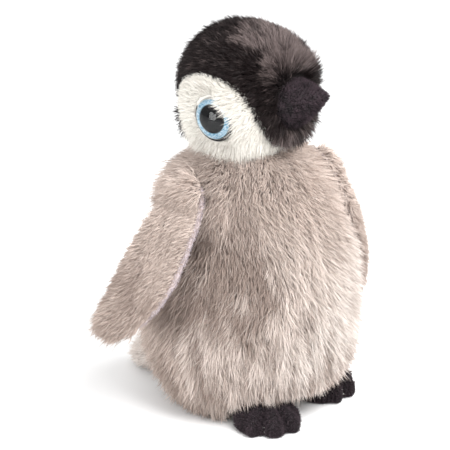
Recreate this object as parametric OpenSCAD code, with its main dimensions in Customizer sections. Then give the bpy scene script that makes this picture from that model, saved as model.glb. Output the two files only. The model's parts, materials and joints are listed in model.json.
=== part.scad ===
// Plush penguin chick: sewn pile-fabric panels over stuffing, with a pellet bag in
// its base, dome eyes locked through the cloth, and wings, feet, tail and head that
// turn on their seams. It faces -Y, stands on z = 0, and its right side is -X.
// Every cover is drawn to the middle of its pile.

/* [Torso] */
// Largest radius of the torso
torso_radius = 63.5; // [62:0.5:65]
// Height of the widest ring of the torso
belly_height = 65; // [62:1:68]
// Distance from the widest ring down to the virtual bottom pole
lower_drop = 94; // [90:1:100]
// Distance from the widest ring up to the virtual top pole
upper_rise = 115.5; // [114:0.5:117]
// How full the torso stays above its widest ring
upper_power = 1.9; // [1.8:0.1:2.2]
// Thickness of the body cloth with half its pile
cover = 5; // [4.5:0.5:5]
// Thickness of the short-pile cloth of base, beak, soles and linings
thin_cover = 2.4; // [2:0.1:2.5]

/* [Head] */
// Radius of the head
head_radius = 42; // [41.5:0.1:42]
// Height of the head's centre
head_height = 203; // [202.5:0.5:204]
// Distance of the head's centre behind the torso's axis
head_back = 2; // [1:0.5:3]
// How far the head looks up
head_pitch = 17; // [12:1:20]
// Length of the beak from its sewn edge
beak_length = 37.5; // [34:0.5:40]
// Radius of the beak where it is sewn in
beak_radius = 16.5; // [15:0.5:17]

/* [Eyes] */
// Radius of the clear dome
eye_radius = 14; // [13:0.5:14.5]
// Height of the clear dome
eye_rise = 8; // [6:0.5:9]
// Radius of the lock washer
washer_radius = 10; // [8:0.5:10.5]

/* [Wings] */
// Length of a wing
wing_length = 108; // [100:1:110]
// Width of a wing
wing_width = 37; // [34:1:38]
// Thickness of a wing
wing_thick = 12; // [11:0.5:12.5]
// How far the tip of a wing sweeps towards its rear edge
tip_sweep = 12; // [0:1:14]
// How far the right wing stands out from the body
right_wing_out = 34; // [27:1:36]
// How far the right wing points back
right_wing_back = 6; // [0:1:25]
// How far the left wing stands out from the body
left_wing_out = 14; // [14:1:30]
// How far the left wing is moved forward round the body
left_wing_forward = 22; // [0:1:24]

/* [Feet] */
// Length of a foot
foot_length = 44; // [40:1:45]
// Width of a foot across its toes
foot_width = 42; // [36:1:42]
// Height of a foot with its sole
foot_height = 16; // [13:0.5:16]
// How far the right foot turns out
right_foot_splay = 35; // [28:1:36]
// How far the left foot turns out
left_foot_splay = 24; // [20:1:26]

/* [Tail] */
// Length of the tail
tail_length = 35; // [28:1:38]
// Width of the tail
tail_width = 32; // [26:1:34]
// Thickness of the tail
tail_thick = 15; // [12:0.5:16]

/* [Hidden] */
$fn = 96;
RIGHT = -1;
LEFT = 1;
gap = 0.2;             // between pieces that are sewn or packed together
joint_gap = 0.8;       // between the head and the seat that it turns in
far = 200;             // longer than any piece, for cuts

torso_top = 178;
recess_front = -8;     // y where the underside rises to clear the feet
recess_step = 15.5;     // height of the underside there
recess_rise = 17;      // how much higher it is at recess_end
recess_end = -72;

bag_radius = 25;
bag_height = 30;
bag_back = 22;
bag_wall = 1;
neck_radius = 20;
neck_bottom = 146;

skull_radius = head_radius - 3.4;    // back of the head's cloth
head_centre = [0, head_back, head_height];
eye_place = [38, -2.5, -9];           // centre of an eye's seat from the head's centre
casing_depth = 4;
cloth_depth = 2;                     // cloth held between the casing and the washer
washer_thick = 2;
shank_radius = 3;
shank_length = 16;
beak_place = [0, -27, -9.9];         // middle of the beak's sewn edge

shoulder = [48, 2, 153];
wing_bow = [3, 6];                   // how far the middle of the right and left wing bulges out
right_foot_place = [-32, -40, 0];    // middle of the right foot on the ground
left_foot_place = [30, -32, 0];
toe_spread = 42;                     // angle between toes, seen from the foot's middle
tail_root = [0, 56.5, 19];
tail_drop = 23;

pile_grey = [0.74, 0.66, 0.62];
belly_grey = [0.84, 0.79, 0.77];
hood_dark = [0.18, 0.15, 0.15];
cheek_white = [0.87, 0.85, 0.83];
foot_dark = [0.24, 0.21, 0.23];
lining_grey = [0.58, 0.55, 0.58];
wadding_white = [0.95, 0.94, 0.9];
pellet_white = [0.85, 0.87, 0.9];
iris_blue = [0.55, 0.72, 0.82];
black_plastic = [0.07, 0.07, 0.08];

// ---- shared shapes ----

// Points of a circle's arc in the plane
function arc(centre, radius, from, to, steps) =
    [for (i = [0:steps]) let (a = from + (to - from) * i / steps)
        centre + radius * [cos(a), sin(a)]];

// Closed solid through equal rings of points, capped by the first and last ring
module skin(rings) {
    n = len(rings[0]);
    last = (len(rings) - 1) * n;
    polyhedron(
        points = [for (ring = rings) each ring],
        faces = concat(
            [[for (i = [0:n - 1]) i]],
            [for (r = [0:n:last - n], i = [0:n - 1]) let (j = (i + 1) % n)
                each [[r + i, r + n + i, r + n + j], [r + i, r + n + j, r + j]]],
            [[for (i = [n - 1:-1:0]) last + i]]));
}

// Outline of a pad lying along X: an oval with blunt ends, fuller towards +X,
// and with three toes as lobes on its front when lobes is above 0
function oval(long, wide, fuller, lobes, steps) =
    [for (i = [0:steps - 1]) let (
        a = 360 * i / steps,
        front = pow(max(0, cos(a)), 2),
        toe = 1 + lobes * front * (cos(360 / toe_spread * min(a, 360 - a)) - 0.4))
        [blunt(cos(a)) * long / 2 * toe,
            blunt(sin(a)) * wide / 2 * (1 + fuller * cos(a)) * toe]];

// Sine or cosine of a circle swelled towards a superellipse
function blunt(c) = sign(c) * pow(abs(c), 0.85);

// One ring of a pad: the outline drawn in, at its height over a bowed middle face
function pad_ring(edge, long, rise, up, height, inset, bow) =
    let (in = 1 - inset / norm(edge[0]))
    [for (p = edge) let (x = p.x * cos(rise) * in, y = p.y * cos(rise) * in)
        [x, y, up * sin(rise) * height + bow * (1 - pow(2 * x / long, 2))]];

// Half of a hollow pad: a domed wall from its rim up to its crown
module pad_shell(edge, long, height, wall, bow = 0) {
    skin(concat(
        [for (rise = [80:-16:0]) pad_ring(edge, long, rise, 1, height - wall, wall, bow)],
        [for (rise = [0:16:80]) pad_ring(edge, long, rise, 1, height, 0, bow)]));
}

// Filling of a pad, rounded above by top and below by bottom
module pad_fill(edge, long, top, bottom, inset, bow = 0) {
    skin(concat(
        [for (rise = [80:-16:16]) pad_ring(edge, long, rise, -1, bottom, inset, bow)],
        [for (rise = [0:16:80]) pad_ring(edge, long, rise, 1, top, inset, bow)]));
}

// ---- torso ----

// Radius of the torso at a height: a round belly on a drawn-in base
function torso_r(z) = z < belly_height
    ? torso_radius * sqrt(1 - pow((belly_height - z) / lower_drop, 2))
    : torso_radius * sqrt(1 - pow((z - belly_height) / upper_rise, upper_power));

// The torso as a body of revolution, drawn in by inset
module torso_body(inset) {
    rotate_extrude()
        polygon(concat(
            [[0, 0]],
            [for (z = [0:6:168], r = torso_r(z) - inset) [r, z]],
            [[torso_r(torso_top - 4) - inset, torso_top - 4], [0, torso_top - 4]]));
}

// The space over the feet, grown by g into the body
module foot_recess(g) {
    translate([-far / 2, 0, 0])
        rotate([90, 0, 90])
            linear_extrude(far)
                polygon([
                    [recess_front + g, -1],
                    [recess_front + g, recess_step + g],
                    [recess_end, recess_step + recess_rise + g],
                    [recess_end - 20, recess_step + recess_rise + g],
                    [recess_end - 20, -1]]);
}

// Everything under a height
module below(z) {
    translate([-far / 2, -far / 2, -far]) cube([far, far, far + z]);
}

// Sphere round the head's centre, for the seat that the head turns in
module head_ball(radius) {
    translate(head_centre) sphere(radius);
}

// Body cloth as a closed tube, before it is cut into panels
module torso_cloth() {
    difference() {
        torso_body(0);
        torso_body(cover);
        foot_recess(0);
        head_ball(head_radius + joint_gap);
    }
}

// A quarter or half of the space, from one corner
module quarter(x, y, wide, deep) {
    translate([x, y, -1]) cube([wide, deep, far + 1]);
}

module torso_front_panel() {
    color(belly_grey)
        intersection() {
            torso_cloth();
            quarter(-far / 2, -far, far, far - gap / 2);
        }
}

module torso_back_panel(side) {
    color(pile_grey)
        intersection() {
            torso_cloth();
            quarter(side == LEFT ? gap / 2 : -far, gap / 2, far - gap / 2, far);
        }
}

module base_panel() {
    color(belly_grey)
        difference() {
            intersection() {
                torso_body(cover + gap);
                union() {
                    foot_recess(thin_cover);
                    below(thin_cover);
                }
            }
            foot_recess(0);
        }
}

// A round flat bag, drawn in by inset
module bag_body(inset) {
    translate([0, bag_back, thin_cover + gap + bag_height / 2])
        rotate_extrude()
            polygon([for (a = [-90:10:90])
                [(bag_radius - inset) * pow(cos(a), 0.6),
                    (bag_height / 2 - inset) * sin(a)]]);
}

module pellet_bag() {
    color(wadding_white)
        difference() {
            bag_body(0);
            bag_body(bag_wall);
        }
}

module pellets() {
    color(pellet_white) bag_body(bag_wall + gap);
}

module torso_stuffing() {
    color(wadding_white)
        difference() {
            torso_body(cover + gap);
            below(thin_cover + gap);
            foot_recess(thin_cover + gap);
            bag_body(-gap);
            translate([0, head_back, neck_bottom]) cylinder(r = neck_radius + gap, h = far);
            head_ball(head_radius + joint_gap);
        }
}

// Ladder stitches that close the centre-back seam after filling
module closing_stitches() {
    stitch_length = 5;
    color(pile_grey)
        for (z = [36:5:76])
            translate([0, torso_r(z) - cover / 2, z])
                rotate([0, 90, 0])
                    cylinder(r = 0.5, h = stitch_length, center = true, $fn = 16);
}

module neck_stuffing() {
    color(wadding_white)
        difference() {
            translate([0, head_back, neck_bottom + gap])
                cylinder(r = neck_radius, h = torso_top - neck_bottom - 10);
            head_ball(head_radius + joint_gap);
        }
}

// ---- head ----

// Places a piece drawn round the head's own centre, looking along -Y
module on_head() {
    translate(head_centre) rotate([-head_pitch, 0, 0]) children();
}

// Side outline of a white cheek: a round patch about the eye that runs down
// and forward to meet the other one under the chin
module cheek_outline() {
    polygon(concat(
        arc([2, -6], 27, -35, 185, 24),
        arc([-3, -36], 17, 185, 325, 12)));
}

module cheek_prism(side) {
    rotate([90, 0, 90])
        mirror([0, 0, side == LEFT ? 0 : 1])
            linear_extrude(far / 2) cheek_outline();
}

module head_cloth() {
    difference() {
        sphere(head_radius);
        sphere(skull_radius);
    }
}

// Places a piece on an eye's axis, which points outwards along local Z
module on_eye(side) {
    translate([side * eye_place.x, eye_place.y, eye_place.z])
        rotate([0, side * 90, 0]) children();
}

// Places a piece on the beak's axis, with local Z forward and local Y up
module on_beak() {
    translate(beak_place) rotate([90, 0, 0]) children();
}

module hood_cover() {
    color(hood_dark)
        on_head()
            difference() {
                head_cloth();
                cheek_prism(RIGHT);
                cheek_prism(LEFT);
                on_beak() cylinder(r = beak_radius + gap, h = far / 2);
            }
}

module cheek_panel(side) {
    seat = eye_radius + gap;
    bottom = casing_depth + cloth_depth;
    color(cheek_white)
        on_head() {
            difference() {
                intersection() {
                    head_cloth();
                    cheek_prism(side);
                }
                on_eye(side) translate([0, 0, -bottom]) cylinder(r = seat + 1.2, h = far / 4);
                on_beak() cylinder(r = beak_radius + gap, h = far / 2);
            }
            on_eye(side)
                difference() {
                    translate([0, 0, -bottom]) cylinder(r = seat + 1.2, h = bottom + 1.5);
                    translate([0, 0, gap - casing_depth - 0.4]) cylinder(r = seat, h = far / 4);
                    translate([0, 0, -far / 4]) cylinder(r = shank_radius + gap, h = far / 2);
                }
        }
}

module head_stuffing() {
    seat = eye_radius + 1.2 + 2 * gap;
    bottom = casing_depth + cloth_depth + gap;
    color(wadding_white)
        on_head()
            difference() {
                sphere(skull_radius - gap);
                for (side = [RIGHT, LEFT]) {
                    on_eye(side) translate([0, 0, -bottom]) cylinder(r = seat, h = far / 4);
                    on_eye(side) translate([0, 0, -shank_length - 1])
                        cylinder(r = washer_radius + gap, h = far / 4);
                }
                on_beak() translate([0, 0, -gap]) cylinder(r = beak_radius + gap, h = far / 2);
            }
}

// Radius of the beak at a distance from its sewn edge: a short blunt cone
function beak_r(s) = beak_radius * pow(1 - pow(s / beak_length, 1.8), 0.8);

module beak_body(inset) {
    length = beak_length - inset;
    rotate_extrude()
        polygon(concat(
            [[0, 0]],
            [for (i = [0:11]) let (s = length * i / 12)
                [beak_r(s * beak_length / length) - inset * (1 - pow(i / 12, 3)), s]],
            [[0, length]]));
}

module beak_cover(up) {
    color(hood_dark)
        on_head() on_beak()
            intersection() {
                difference() {
                    beak_body(0);
                    translate([0, 0, -gap]) beak_body(thin_cover);
                }
                translate([-far / 2, up ? gap / 2 : -far - gap / 2, -1]) cube(far);
            }
}

module beak_stuffing() {
    color(wadding_white) on_head() on_beak() translate([0, 0, 0]) beak_body(thin_cover + 1);
}

// Spherical cap that is the clear front of an eye
module eye_dome(side) {
    ball = (pow(eye_radius, 2) + pow(eye_rise, 2)) / (2 * eye_rise);
    color([0.75, 0.85, 0.9, 0.5])
        on_head() on_eye(side)
            rotate_extrude()
                polygon(concat(
                    [[0, 0]],
                    arc([0, eye_rise - ball], ball, asin((ball - eye_rise) / ball), 90, 14)));
}

module iris_disc(side) {
    color(iris_blue)
        on_head() on_eye(side) translate([0, 0, -1]) cylinder(r = eye_radius - 0.4, h = 0.9);
}

module eye_casing(side) {
    color(black_plastic)
        on_head() on_eye(side) {
            translate([0, 0, -casing_depth]) cylinder(r = eye_radius, h = casing_depth - 1.1);
            translate([0, 0, -shank_length]) cylinder(r = shank_radius, h = shank_length - 1.5);
        }
}

module lock_washer(side) {
    top = -casing_depth - cloth_depth - gap;
    color(pellet_white)
        on_head() on_eye(side)
            translate([0, 0, top - washer_thick])
                difference() {
                    cylinder(r = washer_radius, h = washer_thick);
                    translate([0, 0, -1]) cylinder(r = shank_radius + 0.05, h = washer_thick + 2);
                }
}

// ---- wings ----

// Outline of a wing: an oval whose tip sweeps back along a parabola
wing_edge = [for (p = oval(wing_length, wing_width, 0.14, 0, 32))
    [p.x, p.y + tip_sweep * pow(max(0, 2 * p.x / wing_length), 2)]];

function bow(side) = wing_bow[side == LEFT ? 1 : 0];

// Places a piece drawn along +X from the middle of a wing, outer face up
module on_wing(side) {
    out = side == LEFT ? left_wing_out : right_wing_out;
    back = side == LEFT ? 0 : right_wing_back;
    mirror([side == LEFT ? 0 : 1, 0, 0])
        rotate([0, 0, side == LEFT ? -left_wing_forward : 0])
            translate(shoulder)
                rotate([back, 0, 0]) rotate([0, 90 - out, 0])
                    translate([wing_length / 2 - 2, 0, 0]) children();
}

module wing_outer(side) {
    color(pile_grey)
        on_wing(side) translate([0, 0, gap / 2])
            pad_shell(wing_edge, wing_length, wing_thick / 2, thin_cover, bow(side));
}

module wing_lining(side) {
    color(lining_grey)
        on_wing(side) translate([0, 0, -gap / 2]) mirror([0, 0, 1])
            pad_shell(wing_edge, wing_length, wing_thick / 2, thin_cover, -bow(side));
}

module wing_wadding(side) {
    fill = wing_thick / 2 - thin_cover - gap;
    color(wadding_white)
        on_wing(side)
            pad_fill(wing_edge, wing_length, fill, fill, thin_cover + gap, bow(side));
}

// ---- feet ----

foot_edge = oval(foot_length, foot_width, 0.1, 0.13, 60);

// Places a piece drawn on the ground along +X from the middle of a foot
module on_foot(side) {
    splay = side == LEFT ? left_foot_splay : right_foot_splay;
    translate(side == LEFT ? left_foot_place : right_foot_place)
        rotate([0, 0, side * splay - 90]) children();
}

module foot_upper(side) {
    color(foot_dark)
        on_foot(side) translate([0, 0, thin_cover + gap])
            pad_shell(foot_edge, foot_length, foot_height - thin_cover - gap, thin_cover);
}

module foot_sole(side) {
    color(foot_dark)
        on_foot(side) linear_extrude(thin_cover) polygon(foot_edge);
}

module foot_stuffing(side) {
    fill = foot_height - 2 * thin_cover - 2 * gap;
    color(wadding_white)
        on_foot(side) translate([0, 0, thin_cover + gap])
            pad_fill(foot_edge, foot_length, fill, 0, thin_cover + gap);
}

// ---- tail ----

tail_edge = oval(tail_length, tail_width, -0.35, 0, 28);

// Places a piece drawn along +X from the middle of the tail
module on_tail() {
    translate(tail_root) rotate([0, 0, 90]) rotate([0, tail_drop, 0])
        translate([tail_length / 2, 0, 0]) children();
}

module tail_cover(up) {
    color(pile_grey)
        on_tail() rotate([up ? 0 : 180, 0, 0]) translate([0, 0, gap / 2])
            pad_shell(tail_edge, tail_length, tail_thick / 2, thin_cover);
}

module tail_stuffing() {
    fill = tail_thick / 2 - thin_cover - gap;
    color(wadding_white)
        on_tail() pad_fill(tail_edge, tail_length, fill, fill, thin_cover + gap);
}

torso_front_panel();
torso_back_panel(RIGHT);  // torso_back_right_panel
torso_back_panel(LEFT);  // torso_back_left_panel
base_panel();
torso_stuffing();
pellet_bag();
pellets();
closing_stitches();
neck_stuffing();
hood_cover();
cheek_panel(RIGHT);  // right_cheek_panel
cheek_panel(LEFT);  // left_cheek_panel
head_stuffing();
beak_cover(true);  // beak_upper_cover
beak_cover(false);  // beak_lower_cover
beak_stuffing();
eye_dome(RIGHT);  // right_eye_dome
iris_disc(RIGHT);  // right_iris_disc
eye_casing(RIGHT);  // right_eye_casing
lock_washer(RIGHT);  // right_lock_washer
eye_dome(LEFT);  // left_eye_dome
iris_disc(LEFT);  // left_iris_disc
eye_casing(LEFT);  // left_eye_casing
lock_washer(LEFT);  // left_lock_washer
wing_outer(RIGHT);  // right_wing_outer
wing_lining(RIGHT);  // right_wing_lining
wing_wadding(RIGHT);  // right_wing_wadding
wing_outer(LEFT);  // left_wing_outer
wing_lining(LEFT);  // left_wing_lining
wing_wadding(LEFT);  // left_wing_wadding
foot_upper(RIGHT);  // right_foot_upper
foot_sole(RIGHT);  // right_foot_sole
foot_stuffing(RIGHT);  // right_foot_stuffing
foot_upper(LEFT);  // left_foot_upper
foot_sole(LEFT);  // left_foot_sole
foot_stuffing(LEFT);  // left_foot_stuffing
tail_cover(true);  // tail_upper_cover
tail_cover(false);  // tail_lower_cover
tail_stuffing();
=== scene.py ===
"""Plush penguin chick: long pile body, dark hood, white cheeks, dome eyes and soft limbs.

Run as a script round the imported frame. Every length is in metres and every piece lies in
the frame's own place: -Y is the way the penguin faces, +Z is up and -X is its right side.
"""
import json
from math import cos, pi, radians, sin

import bpy
import numpy as np
from bpy.props import FloatProperty, FloatVectorProperty, IntProperty, PointerProperty
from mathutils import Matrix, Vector


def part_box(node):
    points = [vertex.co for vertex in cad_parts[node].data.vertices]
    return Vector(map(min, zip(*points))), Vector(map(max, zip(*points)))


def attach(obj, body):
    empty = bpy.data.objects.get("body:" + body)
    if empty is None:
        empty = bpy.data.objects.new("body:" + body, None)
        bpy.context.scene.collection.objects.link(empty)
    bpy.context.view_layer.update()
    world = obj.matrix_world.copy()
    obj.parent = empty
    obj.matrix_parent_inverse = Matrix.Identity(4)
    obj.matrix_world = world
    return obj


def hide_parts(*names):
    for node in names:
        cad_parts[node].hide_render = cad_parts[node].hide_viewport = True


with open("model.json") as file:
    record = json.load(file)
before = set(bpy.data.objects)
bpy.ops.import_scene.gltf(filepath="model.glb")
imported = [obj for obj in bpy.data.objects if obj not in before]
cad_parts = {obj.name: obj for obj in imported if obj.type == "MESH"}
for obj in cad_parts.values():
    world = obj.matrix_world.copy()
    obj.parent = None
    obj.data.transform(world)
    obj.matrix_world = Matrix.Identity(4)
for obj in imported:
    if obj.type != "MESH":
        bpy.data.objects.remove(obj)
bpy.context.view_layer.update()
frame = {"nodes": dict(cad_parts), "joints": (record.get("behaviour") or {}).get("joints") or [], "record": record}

bl_info = {
    "name": "Plush Penguin",
    "version": (1, 0, 0),
    "blender": (4, 5, 0),
    "location": "3D View > Sidebar > Plush Penguin",
    "description": "Sews a plush penguin round its packed frame",
    "category": "Object",
}

JOINTS = {joint["name"]: joint for joint in frame["joints"]}
HEAD_CENTRE = np.array(JOINTS["head_nod"]["pos_m"])
RIGHT, LEFT = -1, 1
SIDE_NAME = {RIGHT: "right", LEFT: "left"}


# ---- properties ----

def length(name, description, default):
    return FloatProperty(name=name, description=description, default=default,
                         min=0.0, subtype="DISTANCE", unit="LENGTH", precision=4)


def angle(name, description, degrees):
    return FloatProperty(name=name, description=description, default=radians(degrees),
                         subtype="ANGLE", unit="ROTATION")


def colour(name, description, red, green, blue):
    """A colour property from display values of 0 to 255."""
    linear = tuple((value / 255) ** 2.2 for value in (red, green, blue))
    return FloatVectorProperty(name=name, description=description, default=linear,
                               size=3, min=0.0, max=1.0, subtype="COLOR")


def count(name, description, default):
    return IntProperty(name=name, description=description, default=default, min=1)


class PenguinSizes(bpy.types.PropertyGroup):
    """Sizes of the cloth forms under the pile."""
    torso_radius: length("Torso radius", "Widest radius to the middle of the pile", 0.0635)
    belly_height: length("Belly height", "Height of the widest ring", 0.065)
    lower_drop: length("Lower drop", "From the widest ring down to the bottom pole", 0.094)
    upper_rise: length("Upper rise", "From the widest ring up to the top pole", 0.1155)
    cloth_depth: length("Cloth depth", "Depth of the cloth under its pile's middle", 0.0045)
    torso_top: length("Torso top", "Height of the sewn edge under the head", 0.169)
    foot_clear: length("Foot clearance", "How far the front edge is lifted over the feet", 0.0165)
    cloth_thick: length("Cloth thickness", "Thickness of the backing cloth", 0.0012)
    skull: length("Skull", "Radius of the cloth of the head", 0.0389)
    head_pitch: angle("Head pitch", "How far the head looks up", 17)
    eye_radius: length("Eye radius", "Radius of the clear dome", 0.014)
    eye_rise: length("Eye rise", "Height of the clear dome", 0.008)
    beak_length: length("Beak length", "From its sewn edge to its tip", 0.0355)
    beak_radius: length("Beak radius", "Radius at its sewn edge", 0.0178)
    wing_length: length("Wing length", "Length of the wing's cloth", 0.1055)
    wing_width: length("Wing width", "Width of the wing's cloth", 0.0385)
    wing_thick: length("Wing thickness", "Thickness of the wing's cloth", 0.0075)
    wing_middle: length("Wing middle", "From a wing's shoulder seam to its middle", 0.052)
    tip_sweep: length("Tip sweep", "How far a wing's tip sweeps back", 0.012)
    right_wing_bow: length("Right wing bow", "How far the right wing's middle bulges", 0.003)
    left_wing_bow: length("Left wing bow", "How far the left wing's middle bulges", 0.006)
    right_wing_out: angle("Right wing out", "How far the right wing stands out", 34)
    left_wing_out: angle("Left wing out", "How far the left wing stands out", 14)
    foot_length: length("Foot length", "Length of a foot's cloth", 0.043)
    foot_width: length("Foot width", "Width of a foot's cloth", 0.040)
    foot_height: length("Foot height", "Height of a foot's cloth", 0.0150)
    right_foot_splay: angle("Right foot splay", "How far the right foot turns out", 35)
    left_foot_splay: angle("Left foot splay", "How far the left foot turns out", 24)
    tail_length: length("Tail length", "Length of the tail's cloth", 0.034)
    tail_width: length("Tail width", "Width of the tail's cloth", 0.0292)
    tail_thick: length("Tail thickness", "Thickness of the tail's cloth", 0.0118)
    tail_drop: angle("Tail drop", "How far the tail points down", 23)


class PenguinPile(bpy.types.PropertyGroup):
    """Lengths and counts of the strands of pile."""
    body: length("Body pile", "Length on the body", 0.0125)
    hood: length("Hood pile", "Length on the hood", 0.0075)
    cheek: length("Cheek pile", "Length on the white cheeks", 0.0062)
    wing: length("Wing pile", "Length on the outside of a wing", 0.0072)
    tail: length("Tail pile", "Length on the tail", 0.0085)
    short: length("Short pile", "Length on beak, feet and linings", 0.0015)
    thick: length("Strand width", "Width of a strand at its bend", 0.00053)
    front_count: count("Front strands", "Strands in each layer of the front panel", 28000)
    back_count: count("Back strands", "Strands on each back panel", 25000)
    hood_count: count("Hood strands", "Strands in each layer of the hood", 25000)
    cheek_count: count("Cheek strands", "Strands on each white cheek", 13500)
    wing_count: count("Wing strands", "Strands on the outside of each wing", 14500)
    tail_count: count("Tail strands", "Strands on the tail", 6500)
    lining_count: count("Lining strands", "Strands on each wing lining", 6000)
    beak_count: count("Beak strands", "Strands on the beak", 14000)
    foot_count: count("Foot strands", "Strands on each foot", 10000)


class PenguinColours(bpy.types.PropertyGroup):
    """Colours of the cloths and plastics."""
    body_root: colour("Body roots", "Roots of the body's pile", 142, 126, 118)
    body_tip: colour("Body tips", "Tips of the body's pile", 209, 194, 185)
    body_shade: colour("Body shade", "Darker locks of the body's pile", 160, 144, 135)
    belly_tip: colour("Belly tips", "Tips of the belly's pile", 228, 220, 214)
    hood_root: colour("Hood roots", "Roots of the hood's pile", 26, 20, 20)
    hood_tip: colour("Hood tips", "Tips of the hood's pile", 112, 100, 98)
    cheek_root: colour("Cheek roots", "Roots of the cheeks' pile", 218, 213, 206)
    cheek_tip: colour("Cheek tips", "Tips of the cheeks' pile", 229, 226, 219)
    short_root: colour("Short pile roots", "Roots of the beak and feet", 22, 18, 21)
    short_tip: colour("Short pile tips", "Tips of the beak and feet", 64, 54, 59)
    lining: colour("Lining", "Short pile inside the wings", 196, 184, 189)
    iris_light: colour("Iris light", "Bright flakes of the iris", 196, 222, 234)
    iris_deep: colour("Iris deep", "Deep flakes of the iris", 104, 166, 200)
    floor: colour("Floor", "Paper of the floor", 252, 252, 252)


# ---- numbers ----

def unit(vectors):
    """Each vector at length one."""
    return vectors / np.maximum(np.linalg.norm(vectors, axis=-1, keepdims=True), 1e-12)


def smooth(value, low, high):
    """0 below low, 1 above high and a smoothstep between."""
    t = np.clip((value - low) / (high - low), 0.0, 1.0)
    return t * t * (3 - 2 * t)


def noise(points, size, seed):
    """Smooth random value from 0 to 1: random numbers on a lattice of that size, blended
    between its corners with a smoothstep in each direction."""
    scaled = points / size + 17.3 * seed
    cell = np.floor(scaled).astype(np.int64)
    part = scaled - cell
    part = part * part * (3 - 2 * part)
    total = np.zeros(len(points))
    for corner in np.ndindex(2, 2, 2):
        x, y, z = (cell + corner).T
        mixed = (x * 73856093) ^ (y * 19349663) ^ (z * 83492791) ^ (seed * 2654435)
        mixed = ((mixed ^ (mixed >> 13)) * 1274126177) & 0x7FFFFFFF
        weight = np.prod(np.where(corner, part, 1 - part), axis=1)
        total += weight * ((mixed >> 8) % 65536) / 65535
    return total


def drift(points, size, seed):
    """A smooth random vector, about one long at most, at each point."""
    return np.stack([noise(points, size, seed + k) * 2 - 1 for k in range(3)], axis=-1)


def turn_x(theta):
    return np.array([[1, 0, 0], [0, cos(theta), -sin(theta)], [0, sin(theta), cos(theta)]])


def turn_y(theta):
    return np.array([[cos(theta), 0, sin(theta)], [0, 1, 0], [-sin(theta), 0, cos(theta)]])


def turn_z(theta):
    return np.array([[cos(theta), -sin(theta), 0], [sin(theta), cos(theta), 0], [0, 0, 1]])


class Place:
    """A local frame: a point at p lies at origin + turn @ p. A mirrored one swaps its X."""

    def __init__(self, origin, turn):
        self.origin, self.turn = np.asarray(origin, float), np.asarray(turn, float)
        self.mirrored = np.linalg.det(self.turn) < 0

    def out(self, local):
        return local @ self.turn.T + self.origin

    def back(self, world):
        return (world - self.origin) @ self.turn

    def way(self, local):
        return np.asarray(local, float) @ self.turn.T


# ---- meshes ----

def mesh_piece(name, vertices, faces, shade_smooth=True):
    """A mesh object from arrays: vertices (n, 3), and faces as index arrays (m, 3) or (m, 4)."""
    faces = [np.asarray(f, np.int32) for f in faces if len(f)]
    corners = np.concatenate([f.ravel() for f in faces])
    sizes = np.concatenate([np.full(len(f), f.shape[1], np.int32) for f in faces])
    mesh = bpy.data.meshes.new(name)
    mesh.vertices.add(len(vertices))
    mesh.vertices.foreach_set("co", np.asarray(vertices, np.float32).ravel())
    mesh.loops.add(len(corners))
    mesh.loops.foreach_set("vertex_index", corners)
    mesh.polygons.add(len(sizes))
    starts = np.concatenate([[0], np.cumsum(sizes)[:-1]]).astype(np.int32)
    mesh.polygons.foreach_set("loop_start", starts)
    mesh.polygons.foreach_set("use_smooth", np.full(len(sizes), shade_smooth))
    mesh.update(calc_edges=True)
    piece = bpy.data.objects.new(name, mesh)
    bpy.context.scene.collection.objects.link(piece)
    return piece


def tube_faces(rings, points):
    """Quads between rings of a closed tube, and triangles to a pole at each end. The poles
    are the two vertices after the last ring."""
    u = np.arange(points)
    v = (u + 1) % points
    start = (np.arange(rings - 1) * points)[:, None]
    sides = np.stack([start + u, start + v, start + points + v, start + points + u], -1)
    last, pole = (rings - 1) * points, rings * points
    low = np.stack([np.full(points, pole), v, u], -1)
    high = np.stack([np.full(points, pole + 1), last + u, last + v], -1)
    return [sides.reshape(-1, 4), low, high]


def tube(name, grid, place=None):
    """Closed surface through rings of points, each ring running anticlockwise as seen from
    the last one. The end rings close on their own centres."""
    rings, points = grid.shape[:2]
    vertices = np.concatenate([grid.reshape(-1, 3), grid[:1].mean(1), grid[-1:].mean(1)])
    faces = tube_faces(rings, points)
    if place is not None:
        vertices = place.out(vertices)
        if place.mirrored:
            faces = [f[:, ::-1] for f in faces]
    return mesh_piece(name, vertices, faces)


def slab(name, outer, inner, wrap=False):
    """Closed sheet between two grids of points, with a rim round its edges. With wrap, the
    rows join end to end."""
    rows, cols = outer.shape[:2]
    back = rows * cols
    u = np.arange(cols if wrap else cols - 1)
    v = (u + 1) % cols
    start = (np.arange(rows - 1) * cols)[:, None]
    front = np.stack([start + u, start + v, start + cols + v, start + cols + u], -1).reshape(-1, 4)
    top = (rows - 1) * cols
    rims = [np.stack([u, back + u, back + v, v], -1),
            np.stack([top + u, top + v, back + top + v, back + top + u], -1)]
    if not wrap:
        r = np.arange(rows - 1) * cols
        e = r + cols - 1
        rims += [np.stack([r, r + cols, back + r + cols, back + r], -1),
                 np.stack([e, back + e, back + e + cols, e + cols], -1)]
    vertices = np.concatenate([outer.reshape(-1, 3), inner.reshape(-1, 3)])
    return mesh_piece(name, vertices, [front, front[:, ::-1] + back] + rims)


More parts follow.
